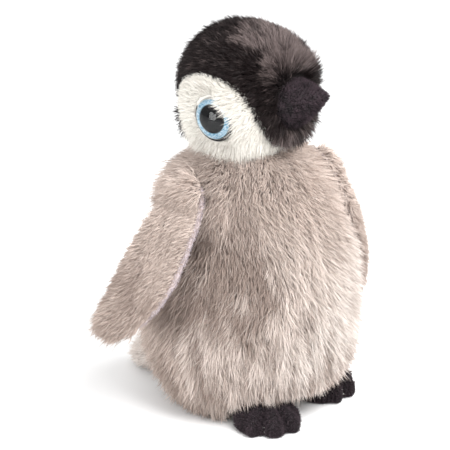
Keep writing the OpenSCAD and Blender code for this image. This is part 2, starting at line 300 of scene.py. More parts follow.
def scatter(piece, amount, rng, density=None):
    """Roots spread evenly over a piece's faces: points and smooth normals. density gives
    the share of roots kept at each point and normal."""
    mesh = piece.data
    mesh.calc_loop_triangles()
    corners = np.empty(len(mesh.loop_triangles) * 3, np.int32)
    mesh.loop_triangles.foreach_get("vertices", corners)
    place, normal = np.empty(len(mesh.vertices) * 3), np.empty(len(mesh.vertices) * 3)
    mesh.vertices.foreach_get("co", place)
    mesh.vertices.foreach_get("normal", normal)
    a, b, c = corners.reshape(-1, 3).T
    place, normal = place.reshape(-1, 3), normal.reshape(-1, 3)
    area = np.linalg.norm(np.cross(place[b] - place[a], place[c] - place[a]), axis=1)
    if density is not None:
        middles = (place[a] + place[b] + place[c]) / 3
        area = area * density(middles, unit(normal[a] + normal[b] + normal[c]))
    total = np.cumsum(area)
    pick = np.searchsorted(total, rng.random(amount) * total[-1])
    s, t = np.sqrt(rng.random((amount, 1))), rng.random((amount, 1))
    a, b, c = a[pick], b[pick], c[pick]
    points = place[a] * (1 - s) + place[b] * s * (1 - t) + place[c] * s * t
    normals = normal[a] * (1 - s) + normal[b] * s * (1 - t) + normal[c] * s * t
    return points, unit(normals)


def put(piece, name, values):
    """Stores one number per vertex on a piece for its material."""
    piece.data.attributes.new(name, "FLOAT", "POINT").data.foreach_set(
        "value", np.asarray(values, np.float32))


SPINDLE = np.array([[0, 2, 1], [0, 3, 2], [0, 1, 3], [1, 2, 4], [2, 3, 4], [3, 1, 4]])
SPIKE = np.array([[0, 2, 1], [0, 1, 3], [1, 2, 3], [2, 0, 3]])
ROOT_DEPTH = 0.0003       # how far a strand is let into its cloth
GROUND = 0.002            # height below which a strand bends along the ground
LONG_SPREAD, LONG_RANGE = 0.16, (0.45, 1.3)     # of a strand's length, as a share of it
LEAN_SPREAD, LEAN_RANGE = 0.22, (0.6, 1.5)      # of a strand's lean, as a share of it
TONE_SPREAD = 0.12


def off_ground(points):
    """Bends what would pass the ground: below GROUND a height falls away exponentially."""
    low = GROUND * np.exp((np.minimum(points[..., 2], GROUND) - GROUND) / GROUND)
    points[..., 2] = np.where(points[..., 2] < GROUND, low, points[..., 2])
    return points


def pile(name, roots, normals, comb, long, width, rng, tone, lean, clump=0.0,
         clump_size=0.004, wild=0.18, pale=None, short=False):
    """One strand of pile on each root. It rises at the first lean from the normal for half
    its length, then at the second, towards its comb. A long strand is a three-sided spindle,
    widest at its bend and pointed at both ends; a short one is a plain spike. Strands of one
    lattice cell draw together by clump, wild is how far the comb scatters, and tone runs
    from 0, dark, to 1, light."""
    amount = len(roots)
    comb = comb - normals * np.sum(comb * normals, axis=1, keepdims=True)
    comb = unit(unit(comb) + wild * rng.normal(size=(amount, 3)))
    long = np.broadcast_to(np.asarray(long, float), (amount,))[:, None]
    long = long * (1 + LONG_SPREAD * rng.normal(size=(amount, 1))).clip(*LONG_RANGE)
    spread = (1 + LEAN_SPREAD * rng.normal(size=(amount, 1))).clip(*LEAN_RANGE)
    first, second = (np.radians(np.reshape(angle, (-1, 1))) * spread for angle in lean)
    rise = normals * np.cos(first) + comb * np.sin(first)
    fall = normals * np.cos(second) + comb * np.sin(second)
    middle = roots + rise * long * 0.5
    tip = middle + fall * long * 0.5
    if clump:
        warped = roots + drift(roots, clump_size * 2.5, 5) * clump_size
        centre = (np.floor(warped / clump_size) + 0.5) * clump_size - (warped - roots)
        pull = centre - roots
        pull = pull - normals * np.sum(pull * normals, axis=1, keepdims=True)
        tip, middle = tip + pull * clump, middle + pull * clump * 0.4
    axis = unit(tip - roots)
    side = unit(np.cross(axis, rng.normal(size=(amount, 3))))
    across = np.cross(axis, side)
    half = np.broadcast_to(np.asarray(width, float), (amount,))[:, None] / 2
    base = roots - normals * ROOT_DEPTH
    belt = base if short else middle
    thirds = (0, 2 * pi / 3, 4 * pi / 3)
    ring = [belt + half * (cos(t) * side + sin(t) * across) for t in thirds]
    rows = [*ring, tip] if short else [base, *ring, tip]
    vertices = off_ground(np.stack(rows, axis=1))
    per = vertices.shape[1]
    index = (np.arange(amount) * per)[:, None, None] + (SPIKE if short else SPINDLE)
    piece = mesh_piece(name, vertices.reshape(-1, 3), [index.reshape(-1, 3)], shade_smooth=False)
    put(piece, "along", np.tile([0, 0, 0, 1] if short else [0, 0.5, 0.5, 0.5, 1], amount))
    tone = np.clip(tone + TONE_SPREAD * rng.normal(size=amount), 0, 1)
    put(piece, "tone", np.repeat(tone, per))
    if pale is not None:
        put(piece, "pale", np.repeat(pale, per))
    return piece


def finish_piece(piece, body, material, replaces=()):
    """Gives a piece its material and its body, and hides the nodes it stands for."""
    piece.data.materials.clear()
    piece.data.materials.append(material)
    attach(piece, body)
    if replaces:
        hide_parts(*replaces)
    return piece


# ---- materials ----

class Shader:
    """A node material being wired, with its Principled shader as the end of the chain."""

    def __init__(self, name, **sockets):
        self.material = bpy.data.materials.new(name)
        self.material.use_nodes = True
        self.tree = self.material.node_tree
        self.end = self.tree.nodes["Principled BSDF"]
        for socket, value in sockets.items():
            self.end.inputs[socket.replace("_", " ")].default_value = value

    def add(self, kind, inputs=None, **values):
        made = self.tree.nodes.new(kind)
        for name, value in values.items():
            setattr(made, name, value)
        for name, value in (inputs or {}).items():
            if isinstance(value, bpy.types.NodeSocket):
                self.tree.links.new(value, made.inputs[name])
            else:
                made.inputs[name].default_value = value
        return made

    def link(self, source, socket):
        self.tree.links.new(source, self.end.inputs[socket])

    def attribute(self, name):
        return self.add("ShaderNodeAttribute", attribute_name=name).outputs["Fac"]

    def place(self, scale=(1, 1, 1), turn=(0, 0, 0)):
        """Object coordinates, scaled and turned."""
        source = self.add("ShaderNodeTexCoord").outputs["Object"]
        inputs = {"Vector": source, "Scale": scale, "Rotation": turn}
        return self.add("ShaderNodeMapping", inputs).outputs[0]

    def ramp(self, source, stops):
        """Colours at places from 0 to 1."""
        made = self.add("ShaderNodeValToRGB", {"Fac": source})
        points = made.color_ramp.elements
        while len(points) < len(stops):
            points.new(0.5)
        for point, (where, tint) in zip(points, stops):
            point.position = where
            point.color = (*tint, 1) if len(tint) == 3 else tint
        return made.outputs["Color"]

    def mix(self, share, first, second, blend="MIX"):
        made = self.add("ShaderNodeMix", {0: share, 6: first, 7: second},
                        data_type="RGBA", blend_type=blend)
        return made.outputs[2]

    def grain(self, size, detail=3.0, scale=(1, 1, 1)):
        """Noise of a size in metres."""
        inputs = {"Vector": self.place(scale), "Scale": 1 / size, "Detail": detail}
        return self.add("ShaderNodeTexNoise", inputs).outputs["Fac"]

    def bump(self, height, depth, strength=1.0):
        inputs = {"Height": height, "Distance": depth, "Strength": strength}
        made = self.add("ShaderNodeBump", inputs)
        self.tree.links.new(made.outputs[0], self.end.inputs["Normal"])


def grey(value):
    return (value, value, value)


def dim(tint, share):
    """A tint at a share of its brightness."""
    return tuple(c * share for c in tint)


def strand_material(name, root, tip, shade, sheen=0.1, roughness=0.7, pale=None):
    """Pile that runs from its root's colour to its tip's, in darker and lighter locks. With
    a pale tint, tips turn to it where the pile's own pale value is high."""
    shader = Shader(name, Roughness=roughness, Sheen_Weight=sheen, Sheen_Roughness=0.45,
                    Specular_IOR_Level=0.2)
    along, tone = shader.attribute("along"), shader.attribute("tone")
    light = shader.ramp(along, [(0.0, root), (0.5, tip), (1.0, tip)])
    if pale is not None:
        pale_out = shader.ramp(along, [(0.0, tip), (0.5, pale), (1.0, pale)])
        light = shader.mix(shader.attribute("pale"), light, pale_out)
    dark = shader.ramp(along, [(0.0, root), (0.7, shade), (1.0, shade)])
    colour_out = shader.mix(shader.ramp(tone, [(0.2, grey(0)), (0.8, grey(1))]), dark, light)
    shader.link(colour_out, "Base Color")
    return shader.material


def backing_material(name, tint, deep, size=0.0012):
    """Cloth seen between the strands: mottled with the strands' own colours, and rough."""
    shader = Shader(name, Roughness=0.9, Sheen_Weight=0.1, Specular_IOR_Level=0.1)
    speck = shader.grain(size, 4)
    shader.link(shader.ramp(speck, [(0.35, deep), (0.65, tint)]), "Base Color")
    shader.bump(speck, 0.0006)
    return shader.material


def cloth_material(name, tint, weave=0.0007):
    """Woven cloth: two crossed waves make the threads."""
    shader = Shader(name, Roughness=0.85, Sheen_Weight=0.2, Specular_IOR_Level=0.2)
    waves = []
    for way in ("X", "Y"):
        inputs = {"Vector": shader.place(), "Scale": 0.3 / weave, "Distortion": 0.6}
        waves.append(shader.add("ShaderNodeTexWave", inputs, bands_direction=way).outputs["Fac"])
    threads = shader.mix(0.5, waves[0], waves[1])
    shader.link(shader.ramp(threads, [(0.2, dim(tint, 0.75)), (0.7, tint)]), "Base Color")
    shader.bump(threads, 0.0002)
    return shader.material


def plastic_material(name, tint, roughness=0.15, **sockets):
    """Moulded plastic with a faint orange-peel skin."""
    shader = Shader(name, Roughness=roughness, **sockets)
    skin = shader.grain(0.002, 2)
    shader.link(shader.ramp(skin, [(0.3, dim(tint, 0.92)), (0.7, tint)]), "Base Color")
    shader.bump(skin, 0.00002)
    return shader.material


# ---- torso ----

HEM_HEIGHT = 0.0035             # of the torso's lower edge behind
CHEST_POWER = 1.9               # fullness of the torso above its widest ring
PANEL_STEPS = 60                # points across a panel and up it

# Where the body's pile changes, from none at the first value to all at the second. A
# measure is negated where the change comes as it gets smaller.
CHEST = (0.095, 0.150)          # height: even and short above
SHOULDER = (0.118, 0.142)       # height: long above, beside the front
NECK = (0.146, 0.162)           # height: short again above
FOOT_DROP = (-0.035, -0.010)    # negated height: short over the feet
LOW_DROP = (-0.062, -0.022)     # negated height: darker low down
FRONT = (0.35, 0.95)            # how squarely a place faces the front
ARMPIT_SHADE_OUT = (0.022, 0.048)     # distance to the right: painted shade under the raised wing
ARMPIT_SHADE_UP = (0.050, 0.085)      # height of the same
LIT_SIDE = (-0.07, 0.01)        # distance to the front left, less the height: paler tips, painted light on the lit side
LOCK_SIZE, FINE_SIZE = (0.0040, 0.016), (0.0016, 0.009)     # across and along


def torso_r(height, sizes):
    """Radius of the torso's cloth: half an ellipse below the widest ring and a fuller curve
    above it, less the depth of the cloth under its pile."""
    low = 1 - ((sizes.belly_height - height) / sizes.lower_drop) ** 2
    high = 1 - np.abs((height - sizes.belly_height) / sizes.upper_rise) ** CHEST_POWER
    share = np.where(height < sizes.belly_height, low, high)
    return sizes.torso_radius * np.sqrt(np.clip(share, 0, 1)) - sizes.cloth_depth


def hem(theta, sizes):
    """Height of the torso's lower edge: on the ground behind, lifted over the feet in front."""
    front = smooth(-np.sin(theta), 0.25, 0.5)
    return HEM_HEIGHT + sizes.foot_clear * front


def torso_point(theta, share, sizes, inwards=0.0):
    """Point of the torso's cloth at an angle round it and a share of its height."""
    low = hem(theta, sizes)
    height = low + share * (sizes.torso_top - low)
    radius = torso_r(height, sizes) - inwards
    return np.stack([radius * np.cos(theta), radius * np.sin(theta), height], -1)


def torso_panel(name, start, end, sizes):
    """One panel of the torso's cloth, from one angle round it to another."""
    theta, share = np.meshgrid(np.linspace(start, end, PANEL_STEPS),
                               np.linspace(0, 1, PANEL_STEPS))
    return slab(name, torso_point(theta, share, sizes),
                torso_point(theta, share, sizes, sizes.cloth_thick))


def facing_out(points, normals):
    """1 where a normal points away from the vertical axis, for roots on a torso panel."""
    away = np.stack([points[:, 0], points[:, 1], np.zeros(len(points))], -1)
    return (np.sum(unit(away) * normals, axis=1) > 0.15).astype(float)


def torso_comb(points):
    """The nap of the body: down, wandering sideways in soft whorls."""
    down = np.tile([0.0, 0.0, -1.0], (len(points), 1))
    around = np.stack([-points[:, 1], points[:, 0], np.zeros(len(points))], -1)
    sway = (noise(points, 0.03, 11) - 0.5)[:, None]
    return down + unit(around) * sway * 0.8 + 0.55 * drift(points, 0.008, 21)


def streaks(points, across, along, seed):
    """Locks that run down the body: noise that is long in height and fine round the torso."""
    theta = np.arctan2(points[:, 1], points[:, 0])
    flat = np.stack([theta * 0.06 / across, points[:, 2] / along, np.zeros(len(points))], -1)
    return noise(flat, 1.0, seed)


def body_pile(panel, body, amount, pile_sizes, material, layers):
    """The pile of a torso panel in layers, the first standing and the last lying flat. It is
    short and even on the chest, long at the shoulders, and long and streaky lower down."""
    for layer in range(layers):
        rng = np.random.default_rng(100 * layer + len(panel.name))
        roots, normals = scatter(panel, amount, rng, facing_out)
        height = roots[:, 2]
        chest, foot = smooth(height, *CHEST), smooth(-height, *FOOT_DROP)
        low = smooth(-height, *LOW_DROP)
        front = smooth(-roots[:, 1] / np.hypot(roots[:, 0], roots[:, 1]), *FRONT)
        shoulder = smooth(height, *SHOULDER) * (1 - 0.8 * front)
        shoulder = shoulder * (1 - 0.85 * smooth(height, *NECK))
        flat = layer / max(layers - 1, 1)
        lock, fine = streaks(roots, *LOCK_SIZE, 31), streaks(roots, *FINE_SIZE, 37)
        shorter = 0.42 * chest + (0.25 + 0.48 * front) * foot
        long = pile_sizes.body * (1 - shorter + 0.7 * shoulder) * (0.84 + 0.3 * lock)
        # Painted shade: the tone is darkened under the raised right wing.
        under = smooth(-roots[:, 0], *ARMPIT_SHADE_OUT) * smooth(height, *ARMPIT_SHADE_UP) * (1 - shoulder)
        streak = (1 - 0.6 * chest) * (0.85 * (lock - 0.5) + 0.5 * (fine - 0.5))
        # Paler tips: the belly's own paler colour below the chest, raised by painted light on the lit front left.
        pale = 0.4 + 0.6 * smooth(roots[:, 0] - roots[:, 1] - height, *LIT_SIDE)
        made = pile(f"{panel.name}_pile_{layer + 1}", roots, normals, torso_comb(roots), long,
                    pile_sizes.thick, rng, tone=0.67 + streak - 0.55 * under - 0.22 * low,
                    lean=(28 + 14 * flat + 12 * foot + 6 * chest - 10 * shoulder,
                          60 + 14 * flat + 8 * foot - 10 * shoulder),
                    clump=0.5, clump_size=0.0042, wild=0.26,
                    pale=pale * (1 - chest) * (1 - 0.35 * low))
        finish_piece(made, body, material)


def foot_room(y):
    """How high the base lies: on the ground behind the feet's seam, then a step up over
    their tops that goes on rising to the front."""
    step = smooth(-y, 0.004, 0.009)
    return 0.0006 + step * (0.0160 + 0.266 * np.maximum(0, -y - 0.008))


class PENGUIN_OT_torso(bpy.types.Operator):
    """Cuts the body's cloth panels and base, and grows their pile"""
    bl_idname = "penguin.torso"
    bl_label = "Torso"

    def execute(self, context):
        sizes, lengths = context.scene.penguin_sizes, context.scene.penguin_pile
        tints = context.scene.penguin_colours
        backing = backing_material("body_backing", tints.body_shade, tints.body_root)
        belly = strand_material("belly_strands", tints.body_root, tints.body_tip, tints.body_shade,
                                pale=tints.belly_tip)
        back = strand_material("body_strands", tints.body_root, tints.body_tip, tints.body_shade)
        behind = ("body_pile", back, 1, lengths.back_count)
        panels = [("torso_front", -pi, 0, "belly_pile", belly, 3, lengths.front_count),
                  ("torso_back_left", 0, pi / 2, *behind),
                  ("torso_back_right", pi / 2, pi, *behind)]
        for name, start, end, slot, material, layers, amount in panels:
            panel = torso_panel(f"{name}_cloth", start, end, sizes)
            finish_piece(panel, "torso", backing, [f"{name}_panel"])
            body_pile(panel, "torso", amount, lengths, material, layers)
        self.base(sizes, tints)
        return {"FINISHED"}

    def base(self, sizes, tints):
        """The base cloth: rings from its middle out to the torso's lower edge, each at the
        height of the room for the feet until the last ones bend to the edge."""
        around, inwards = np.linspace(0, 2 * pi, 193)[:-1], np.linspace(1, 0.02, 60)
        theta, share = np.meshgrid(around, inwards)
        edge = torso_point(theta, np.zeros_like(theta), sizes, sizes.cloth_thick * 1.5)
        sole = edge * share[..., None]
        room = foot_room(sole[..., 1])
        sole[..., 2] = room + (edge[..., 2] - room) * share ** 12
        upper = sole + np.array([0, 0, sizes.cloth_thick])
        piece = slab("base_cloth", sole[:, ::-1], upper[:, ::-1], wrap=True)
        finish_piece(piece, "torso", cloth_material("base_weave", tints.body_tip),
                     ["base_panel"])


# ---- head ----

EYE_PLACE = np.array([0.038, -0.0025, -0.009])
EYE_AXIS = unit(EYE_PLACE)
EYE_EDGE = 0.0003               # height of a dome's upright edge
BEAK_PLACE = np.array([0.0, -0.027, -0.0099])
BEAK_WAY = np.array([0.0, -1.0, 0.0])
DIMPLE = 0.0030                 # how deep the head is drawn in at an eye
CHEEK_STANDS, CHEEK_SINKS = 0.0007, 0.0004      # a cheek's faces, out and in from the head

# Patches of the hood: the way to the middle of one and the cosine at its edge.
NAPE = ((0, 0.80, -0.60), 0.62)
TEMPLE = ((0.58, -0.23, 0.775), 0.80)
BACK_TOP = ((0, 0.61, 0.775), 0.80)
COLLAR = ((0.62, 0.72, -0.32), 0.93)

# Where the hood's pile changes, in the same way, measured from the middle of the head.
RUFF = (-0.027, -0.018)         # negated distance from the beak's axis: long round the beak
CHIN = (0.004, 0.016)           # distance under the beak's axis: lighter
BROW_HIGHLIGHT_FRONT = (0.005, 0.024)     # distance to the front: painted highlight on the brow
BROW_HIGHLIGHT_UP = (0.0, 0.012)          # height of the same
BROW_HIGHLIGHT_SIDE = (-0.022, -0.013)    # negated distance to a side of the same
CROWN_HIGHLIGHT = (0.010, 0.038)          # height: painted highlight above, on the crown
RIM = (-1.22, -1.0)             # negated share of a cheek's outline: short and dark beside it


def head_place(sizes):
    return Place(HEAD_CENTRE, turn_x(-sizes.head_pitch))


def toward(local, aim, low):
    """1 where a point lies that way from the middle of the head, on either side of it, down
    to 0 where the cosine between the two is low."""
    side = np.where(local[..., :1] < 0, -1.0, 1.0)
    way = unit(local * np.concatenate([side, np.ones_like(side), np.ones_like(side)], -1))
    return smooth(way @ unit(np.array(aim, float)), low, 1.0)


def head_r(way, sizes):
    """Radius of the head's cloth in a direction: a ball with a round dimple under each eye."""
    return sizes.skull - DIMPLE * toward(way, EYE_AXIS, 0.93)


def cheek_edge(psi):
    """Outline of a white cheek in the side view, as a distance from the eye at an angle
    from the front: a sum of three waves, wide behind and above, narrow in front and drawn
    out downwards to the throat."""
    first = -0.0035 * np.cos(psi) - 0.0030 * np.sin(psi)
    second = -0.0012 * np.cos(2 * psi) - 0.0012 * np.sin(2 * psi)
    return 0.0282 + first + second + 0.0018 * np.sin(3 * psi)


def cheek_share(local):
    """Below 1 inside a white cheek, from a point's side view about the eye."""
    y = EYE_PLACE[1] - local[..., 1]
    z = local[..., 2] - EYE_PLACE[2]
    return np.hypot(y, z) / cheek_edge(np.arctan2(z, y))


def away_from_beak(local):
    """Nap of the head: away from the beak's base all round, and settling downwards."""
    return unit(local - (BEAK_PLACE + BEAK_WAY * 0.012)) + np.array([0, 0, -0.25])


class PENGUIN_OT_head(bpy.types.Operator):
    """Makes the hood and the white cheeks, and grows their pile"""
    bl_idname = "penguin.head"
    bl_label = "Head"

    def execute(self, context):
        sizes, lengths = context.scene.penguin_sizes, context.scene.penguin_pile
        tints = context.scene.penguin_colours
        place = head_place(sizes)
        theta, phi = np.meshgrid(np.linspace(0, 2 * pi, 161)[:-1],
                                 np.linspace(-pi / 2, pi / 2, 90)[1:-1])
        way = np.stack([np.cos(phi) * np.cos(theta), np.cos(phi) * np.sin(theta), np.sin(phi)], -1)
        hood = tube("hood_cloth", way * head_r(way, sizes)[..., None], place)
        backing = backing_material("hood_backing", tints.hood_root, dim(tints.hood_root, 0.6))
        finish_piece(hood, "head", backing, ["hood_cover"])
        for side in (RIGHT, LEFT):
            self.cheek(side, place, sizes, lengths, tints)
        self.hood_pile(hood, place, sizes, lengths, tints)
        return {"FINISHED"}

    def cheek(self, side, place, sizes, lengths, tints):
        """A white cheek: rings round the eye, out to the outline of the patch or to the
        middle line under the chin, whichever comes first."""
        name = SIDE_NAME[side]
        backing = backing_material(f"{name}_cheek_backing", tints.cheek_tip, tints.cheek_root)
        psi, share = np.meshgrid(np.linspace(0, 2 * pi, 121)[:-1], np.linspace(0, 1, 26))
        y_way, z_way = -np.cos(psi), np.sin(psi)
        limit = 0.992 * sizes.skull
        across = EYE_PLACE[1] * y_way + EYE_PLACE[2] * z_way
        far = np.sqrt(across ** 2 + limit ** 2 - EYE_PLACE[1] ** 2 - EYE_PLACE[2] ** 2) - across
        inner, edge = sizes.eye_radius - 0.0025, np.minimum(cheek_edge(psi), far)
        radius = inner + (edge - inner) * share
        y, z = EYE_PLACE[1] + radius * y_way, EYE_PLACE[2] + radius * z_way
        x = np.sqrt(sizes.skull ** 2 - y * y - z * z)
        way = unit(np.stack([side * x, y, z], -1))
        radius = head_r(way, sizes)[..., None]
        outer = place.out(way * (radius + CHEEK_STANDS))
        within = place.out(way * (radius - CHEEK_SINKS))
        if side == LEFT:
            outer, within = outer[:, ::-1], within[:, ::-1]
        cheek = slab(f"{name}_cheek_cloth", outer[::-1], within[::-1], wrap=True)
        finish_piece(cheek, "head", backing, [f"{name}_cheek_panel"])
        self.cheek_pile(side, cheek, place, sizes, lengths, tints)

    def cheek_pile(self, side, cheek, place, sizes, lengths, tints):
        """A cheek's pile: short behind the eye, longer in front of it, where it laps over the
        eye, and longest and most upright at the lower back."""
        def density(points, normals):
            local = place.back(points)
            apart = np.hypot(local[:, 1] - EYE_PLACE[1], local[:, 2] - EYE_PLACE[2])
            outside = np.sum(unit(points - HEAD_CENTRE) * normals, axis=1) > 0.3
            return (outside & (apart > sizes.eye_radius + 0.0002)).astype(float)

        name = SIDE_NAME[side]
        strands = strand_material(f"{name}_cheek_strands", tints.cheek_root, tints.cheek_tip,
                                  tints.cheek_root, sheen=0.2)
        rng = np.random.default_rng(7 + side)
        roots, normals = scatter(cheek, lengths.cheek_count, rng, density)
        local = place.back(roots)
        from_eye = local - EYE_PLACE * [side, 1, 1]
        apart = np.hypot(from_eye[:, 1], from_eye[:, 2])
        front = smooth(-from_eye[:, 1] / apart, 0.3, 0.8)
        near = smooth(-apart, -sizes.eye_radius - 0.007, -sizes.eye_radius - 0.0005)
        low_back = smooth(-from_eye[:, 2] / apart + 0.5 * from_eye[:, 1] / apart, 0.2, 1.0)
        low_back = low_back * (1 - near)
        comb = place.way(away_from_beak(local) + (1.1 - 1.1 * front)[:, None] * unit(from_eye))
        long = lengths.cheek * (0.85 + 0.3 * noise(roots, 0.006, 3))
        long = long * (1 - 0.45 * near * (1 - front) + 0.45 * near * front + 0.75 * low_back)
        long = long * (1 - 0.4 * smooth(cheek_share(local), 0.8, 1.0) * (1 - low_back))
        made = pile(f"{name}_cheek_pile", roots, normals, comb, long, lengths.thick * 0.9, rng,
                    tone=0.6 + 0.5 * (noise(roots, 0.006, 5) - 0.5),
                    lean=(24 + 10 * near - 8 * low_back, 56 - 4 * near - 16 * low_back),
                    wild=0.14)
        finish_piece(made, "head", strands)

    def hood_pile(self, hood, place, sizes, lengths, tints):
        """The hood's pile leaves the cheeks, the eyes and the beak bare. It is shorter at the
        upper sides, stands long round the beak, at the nape and behind the cheeks, and is
        lighter on the chin, with painted highlights on the brow and the crown."""
        strands = strand_material("hood_strands", tints.hood_root, tints.hood_tip,
                                  dim(tints.hood_root, 1.6), sheen=0.02, roughness=0.55)

        def density(points, normals):
            local = place.back(points)
            beak = np.hypot(local[:, 0], local[:, 2] - BEAK_PLACE[2])
            open_front = (local[:, 1] > 0) | (beak > sizes.beak_radius * 0.84)
            return ((cheek_share(local) > 1.02) & open_front).astype(float)

        for layer in range(2):
            rng = np.random.default_rng(50 + layer)
            roots, normals = scatter(hood, lengths.hood_count, rng, density)
            local = place.back(roots)
            x, y, z = local.T
            beak = np.hypot(x, z - BEAK_PLACE[2])
            upright = np.abs(z - BEAK_PLACE[2]) / np.maximum(beak, 0.001)
            ruff = smooth(-beak, *RUFF) * (y < 0)
            nape, temple = toward(local, *NAPE), toward(local, *TEMPLE)
            back_top, collar = toward(local, *BACK_TOP), toward(local, *COLLAR)
            behind = np.maximum(nape, collar)
            brow_highlight = smooth(-y, *BROW_HIGHLIGHT_FRONT) * smooth(z, *BROW_HIGHLIGHT_UP)
            brow_highlight = brow_highlight * smooth(-np.abs(x), *BROW_HIGHLIGHT_SIDE)
            chin = (y < 0) * smooth(BEAK_PLACE[2] - z, *CHIN)
            crown_highlight = smooth(z, *CROWN_HIGHLIGHT)
            rim = smooth(-cheek_share(local), *RIM) * (1 - behind)
            lock = 0.6 * noise(roots, 0.0042, 71) + 0.4 * noise(roots, 0.0016, 73)
            comb = place.way(away_from_beak(local)) + 0.45 * drift(roots, 0.014, 61)
            comb = comb + nape[:, None] * [0, 0, -0.8]
            long = (lengths.hood + (0.0070 * upright - 0.0015) * ruff + 0.0060 * behind
                    - 0.0030 * temple + 0.0010 * back_top)
            long = long * (0.8 + 0.4 * lock) * (1 - 0.5 * rim)
            stand = np.maximum(ruff * upright, behind)
            # Tone: random locks, painted highlights on the brow and the crown, lighter on the chin and darker
            # beside the cheeks.
            tone = 0.7 * (lock - 0.42) + 1.1 * brow_highlight * (0.1 + 1.1 * lock)
            tone = tone + 0.05 * crown_highlight - 0.25 * rim + 0.48 * chin * (0.4 + lock)
            made = pile(f"hood_pile_{layer + 1}", roots, normals, comb, long, lengths.thick, rng,
                        tone=tone, clump=0.5, clump_size=0.004,
                        lean=(34 - 14 * stand + 8 * layer + 10 * rim,
                              66 - 20 * stand + 4 * layer))
            finish_piece(made, "head", strands)


ROUND = 96                      # points round an eye's parts


def lathe(radius, height):
    """Rings round the Z axis, one at each radius and height."""
    theta = np.linspace(0, 2 * pi, ROUND + 1)[:-1]
    return np.stack([radius[:, None] * np.cos(theta), radius[:, None] * np.sin(theta),
                     np.repeat(height[:, None], ROUND, 1)], -1)


class PENGUIN_OT_eyes(bpy.types.Operator):
    """Makes the clear domes, their collars and the glittering irises"""
    bl_idname = "penguin.eyes"
    bl_label = "Eyes"

    def execute(self, context):
        sizes, tints = context.scene.penguin_sizes, context.scene.penguin_colours
        clear = plastic_material("clear_dome_plastic", (1.0, 1.0, 1.0), 0.02,
                                 Transmission_Weight=1.0, IOR=1.38)
        black = plastic_material("eye_rim_plastic", (0.008, 0.008, 0.009), 0.12)
        iris = self.iris_material(tints)
        head = head_place(sizes)
        for side in (RIGHT, LEFT):
            turn = turn_y(side * pi / 2)
            place = Place(head.out(EYE_PLACE * [side, 1, 1]), head.turn @ turn)
            name = SIDE_NAME[side]
            dome = tube(f"{name}_eye_lens", lathe(*self.dome_profile(sizes)), place)
            finish_piece(dome, "head", clear, [f"{name}_eye_dome"])
            rim = tube(f"{name}_eye_rim", lathe(*self.rim_profile(sizes)), place)
            finish_piece(rim, "head", black)
            radius, height = self.iris_profile(sizes)
            disc = tube(f"{name}_iris_foil", lathe(radius, height), place)
            share = np.repeat(radius / sizes.eye_radius, ROUND)
            put(disc, "radius", np.append(share, [0, 0]))
            finish_piece(disc, "head", iris, [f"{name}_iris_disc"])
        return {"FINISHED"}

    def dome_profile(self, sizes):
        """Radius and height of a flat back, a low upright rim and then a cap of a ball."""
        ball = (sizes.eye_radius ** 2 + sizes.eye_rise ** 2) / (2 * sizes.eye_rise)
        edge = np.arcsin(sizes.eye_radius / ball)
        rise = np.linspace(edge, 0.02, 26)
        back = [0.3 * sizes.eye_radius, 0.97 * sizes.eye_radius]
        cap = ball * np.cos(rise) - ball + sizes.eye_rise + EYE_EDGE
        return np.concatenate([back, ball * np.sin(rise)]), np.concatenate([[0.0, 0.0], cap])

    def rim_profile(self, sizes):
        """The casing's collar round the dome: a flat ring with a rounded outer lip. Each pair
        is a distance out from the dome's radius and a height, in millimetres."""
        lip = np.array([(-3.0, -1.2), (-0.4, -1.3), (0.6, -1.1), (1.0, -0.3), (0.6, 0.5),
                        (0.1, 0.7), (-0.3, 0.2), (-3.0, -0.2)]) / 1000
        return sizes.eye_radius + lip[:, 0], lip[:, 1]

    def iris_profile(self, sizes):
        """Radius and height of a thin disc let into the dome's back, out over its own back
        and in over its front."""
        share = np.concatenate([np.linspace(0.05, 0.985, 12), np.linspace(0.985, 0.02, 60)])
        height = np.concatenate([np.full(12, -3 * EYE_EDGE), np.full(60, EYE_EDGE)])
        return share * sizes.eye_radius, height

    def iris_material(self, tints):
        """Black pupil, a ring of blue flakes, then a dark line and a painted highlight, a pale line, at the rim.
        """
        shader = Shader("iris_glitter", Roughness=0.5, Metallic=0.0, Specular_IOR_Level=0.0)
        flakes = shader.add("ShaderNodeTexVoronoi", {"Vector": shader.place(), "Scale": 2600.0})
        flake = shader.ramp(flakes.outputs["Color"], [
            (0.15, dim(tints.iris_deep, 0.75)), (0.4, tints.iris_deep),
            (0.65, tints.iris_light), (0.9, (0.95, 0.98, 1.0))])
        radius = shader.attribute("radius")
        # The pale ring near the rim is a painted highlight between dark lines.
        black, painted_rim_highlight = (0.004, 0.004, 0.005), (0.6, 0.62, 0.6)
        blue = shader.ramp(radius, [(0.55, grey(0)), (0.60, grey(1)),
                                    (0.86, grey(1)), (0.87, grey(0))])
        rim = shader.ramp(radius, [(0.87, black), (0.895, black), (0.91, painted_rim_highlight), (0.935, black)])
        shader.link(shader.mix(blue, rim, flake), "Base Color")
        shader.bump(flakes.outputs["Distance"], 0.0001, 0.4)
        return shader.material


# ---- beak ----

SHORT_WIDTH = 0.0007            # of a strand on the beak and feet


